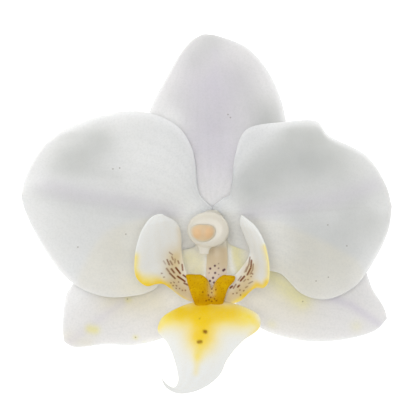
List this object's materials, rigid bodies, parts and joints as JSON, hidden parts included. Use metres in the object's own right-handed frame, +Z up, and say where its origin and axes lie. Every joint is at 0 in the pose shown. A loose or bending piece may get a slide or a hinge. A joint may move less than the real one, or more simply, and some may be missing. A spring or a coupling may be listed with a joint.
{
  "type": "orchid flower",
  "caption": "Single white moth orchid bloom as picked, lying face up, with sepals, petals, a yellow horned lip, a column and a short cut stalk behind.",
  "frame": {"origin": "under the middle of the flower's outline, on the surface that it lies on", "axes": "+Z up out of the flower's face, +Y towards the dorsal sepal, +X to the viewer's right across the petals"},
  "size_m": [0.0604, 0.0584, 0.0196],
  "materials": {
    "sepal_tissue": "matt white flower tissue with a faint lavender flush",
    "petal_tissue": "matt white flower tissue with a fine sparkle of cells",
    "lip_tissue": "waxy, white shading to yellow, with brown stripes and spots",
    "column_tissue": "waxy cream",
    "anther_tissue": "waxy peach",
    "stalk_tissue": "smooth pale green, cut end wet and paler"
  },
  "bodies": {
    "root": {"dorsal_sepal": "sepal_tissue", "lateral_sepal_left": "sepal_tissue", "lateral_sepal_right": "sepal_tissue", "petal_left": "petal_tissue", "petal_right": "petal_tissue", "lip": "lip_tissue", "column": "column_tissue", "anther_cap": "anther_tissue", "pedicel": "stalk_tissue"}
  },
  "joints": []
}
